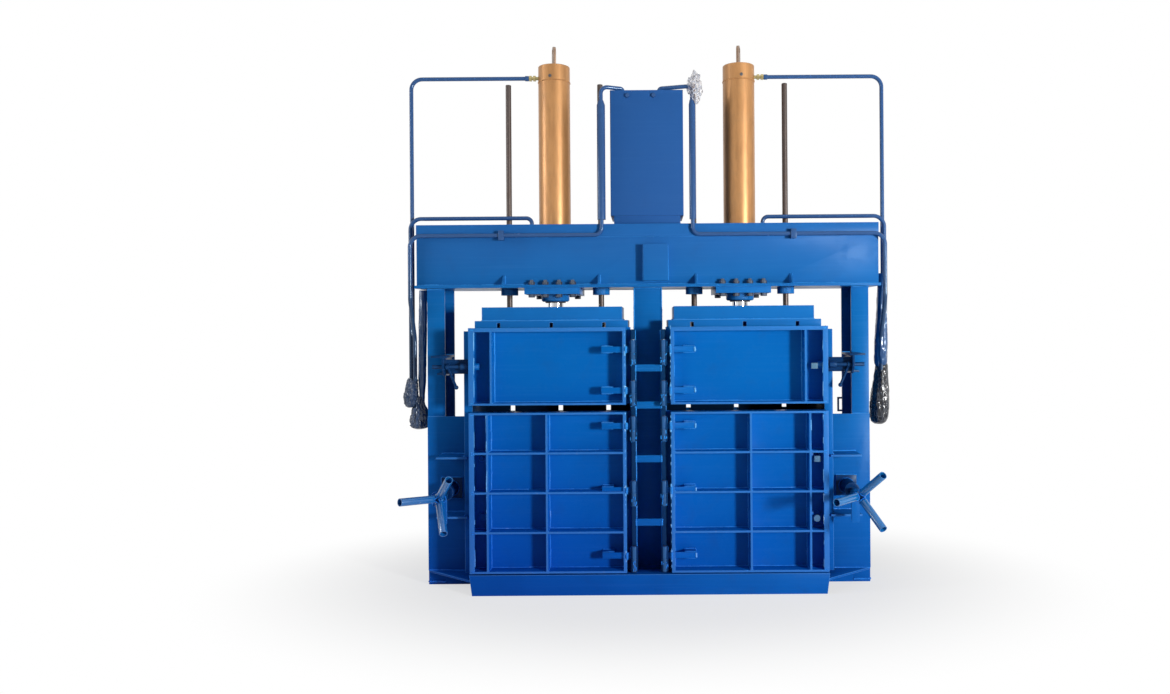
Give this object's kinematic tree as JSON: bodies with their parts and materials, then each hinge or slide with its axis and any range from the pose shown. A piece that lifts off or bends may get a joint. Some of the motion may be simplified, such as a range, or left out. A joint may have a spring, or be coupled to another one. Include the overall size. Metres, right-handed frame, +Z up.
{
  "type": "recycling baler",
  "caption": "Twin-chamber vertical hydraulic baling press with side-hinged doors, screw locks, overhead cylinders, guide rods and an oil tank on its crosshead.",
  "frame": {"origin": "on the floor, under the middle of the centre column", "axes": "+Z up, the doors face -Y, +X is the right-hand chamber seen from the front"},
  "size_m": [3.1703, 1.1617, 3.4499],
  "materials": {
    "frame_paint": "glossy blue enamel over welded plate",
    "door_paint": "glossy blue enamel over welded plate",
    "press_paint": "glossy blue enamel over machined plate",
    "lock_paint": "blue enamel, rubbed at the grips",
    "pipe_paint": "dark blue enamel",
    "tank_paint": "smooth blue enamel over sheet steel",
    "cylinder_paint": "gold lacquer, semi-gloss",
    "chrome_rod": "ground and chromed",
    "bare_steel": "bright steel, oiled",
    "guide_steel": "dull brown-grey drawn bar",
    "zinc_bolt": "zinc plated",
    "fitting_brass": "yellow passivated",
    "cast_motor": "grey paint on cast iron",
    "stretch_film": "crumpled stretch film"
  },
  "bodies": {
    "frame": {"base_cross_beams": "frame_paint", "base_front_beam": "frame_paint", "base_rear_beam": "frame_paint", "centre_column": "frame_paint", "crosshead": "frame_paint", "flange_bolts": "zinc_bolt", "floor_plates": "frame_paint", "gland_flanges": "press_paint", "guide_bushes": "press_paint", "hinge_pins": "bare_steel", "hinge_post_ladder": "frame_paint", "hydraulic_pump": "cast_motor", "inner_walls": "frame_paint", "latch_brackets": "lock_paint", "left_cap_pipe": "pipe_paint", "left_cylinder_barrel": "cylinder_paint", "left_outer_column": "frame_paint", "left_rear_wall": "frame_paint", "left_rod_pipe": "pipe_paint", "left_skirt": "frame_paint", "left_supply_pipe": "pipe_paint", "lifting_eyes": "bare_steel", "lock_blocks": "lock_paint", "oil_tank": "tank_paint", "outer_walls": "frame_paint", "pipe_clamps": "pipe_paint", "pipe_wraps": "stretch_film", "port_fittings": "fitting_brass", "pump_motor": "cast_motor", "rear_ribs": "frame_paint", "right_cap_pipe": "pipe_paint", "right_cylinder_barrel": "cylinder_paint", "right_outer_column": "frame_paint", "right_rear_wall": "frame_paint", "right_rod_pipe": "pipe_paint", "right_skirt": "frame_paint", "right_supply_pipe": "pipe_paint"},
    "right_ram": {"right_platen": "press_paint", "right_piston_rod": "chrome_rod", "right_piston": "bare_steel", "right_guide_rods": "guide_steel"},
    "right_upper_leaf": {"right_upper_door": "door_paint"},
    "right_lower_leaf": {"right_lower_door": "door_paint"},
    "right_lock_carriage": {"right_lock_washer": "bare_steel"},
    "right_lock_screw": {"right_lock_spindle": "bare_steel", "right_star_handle": "lock_paint"},
    "right_clamp_bar": {"right_lock_dog": "lock_paint"},
    "right_latch_bolt": {"right_upper_latch": "lock_paint"},
    "left_ram": {"left_platen": "press_paint", "left_piston_rod": "chrome_rod", "left_piston": "bare_steel", "left_guide_rods": "guide_steel"},
    "left_upper_leaf": {"left_upper_door": "door_paint"},
    "left_lower_leaf": {"left_lower_door": "door_paint"},
    "left_lock_carriage": {"left_lock_washer": "bare_steel"},
    "left_lock_screw": {"left_lock_spindle": "bare_steel", "left_star_handle": "lock_paint"},
    "left_clamp_bar": {"left_lock_dog": "lock_paint"},
    "left_latch_bolt": {"left_upper_latch": "lock_paint"}
  },
  "joints": [
    {"name": "right_ram_slide", "type": "slide", "parent": "frame", "child": "right_ram", "axis": [0, 0, -1], "range_m": [0, 0.9]},
    {"name": "right_upper_door_hinge", "type": "hinge", "parent": "frame", "child": "right_upper_leaf", "pos_m": [0.092, -0.4005, 1.39], "axis": [0, 0, -1], "range_deg": [0, 90]},
    {"name": "right_lower_door_hinge", "type": "hinge", "parent": "frame", "child": "right_lower_leaf", "pos_m": [0.092, -0.4005, 0.62], "axis": [0, 0, -1], "range_deg": [0, 90]},
    {"name": "right_lock_travel", "type": "slide", "parent": "frame", "child": "right_lock_carriage", "axis": [0, 1, 0], "range_m": [-0.0061, 0.0076]},
    {"name": "right_star_turn", "type": "hinge", "parent": "right_lock_carriage", "child": "right_lock_screw", "pos_m": [1.246, -0.4345, 0.615], "axis": [0, 1, 0], "range_deg": [-360, 430]},
    {"name": "right_clamp_bar_turn", "type": "hinge", "parent": "right_lock_carriage", "child": "right_clamp_bar", "pos_m": [1.246, -0.4345, 0.615], "axis": [0, 1, 0], "range_deg": [0, 90]},
    {"name": "right_upper_latch_slide", "type": "slide", "parent": "frame", "child": "right_latch_bolt", "axis": [-1, 0, 0], "range_m": [0, 0.06]},
    {"name": "left_ram_slide", "type": "slide", "parent": "frame", "child": "left_ram", "axis": [0, 0, -1], "range_m": [0, 0.9]},
    {"name": "left_upper_door_hinge", "type": "hinge", "parent": "frame", "child": "left_upper_leaf", "pos_m": [-0.092, -0.4005, 1.39], "axis": [0, 0, 1], "range_deg": [0, 90]},
    {"name": "left_lower_door_hinge", "type": "hinge", "parent": "frame", "child": "left_lower_leaf", "pos_m": [-0.092, -0.4005, 0.62], "axis": [0, 0, 1], "range_deg": [0, 90]},
    {"name": "left_lock_travel", "type": "slide", "parent": "frame", "child": "left_lock_carriage", "axis": [0, 1, 0], "range_m": [-0.0061, 0.0076]},
    {"name": "left_star_turn", "type": "hinge", "parent": "left_lock_carriage", "child": "left_lock_screw", "pos_m": [-1.246, -0.4345, 0.615], "axis": [0, 1, 0], "range_deg": [-360, 430]},
    {"name": "left_clamp_bar_turn", "type": "hinge", "parent": "left_lock_carriage", "child": "left_clamp_bar", "pos_m": [-1.246, -0.4345, 0.615], "axis": [0, -1, 0], "range_deg": [0, 90]},
    {"name": "left_upper_latch_slide", "type": "slide", "parent": "frame", "child": "left_latch_bolt", "axis": [1, 0, 0], "range_m": [0, 0.06]}
  ],
  "couplings": [
    {"joint": "right_lock_travel", "follows": "right_star_turn", "m_per_rad": 0.00095493},
    {"joint": "left_lock_travel", "follows": "left_star_turn", "m_per_rad": 0.00095493}
  ]
}
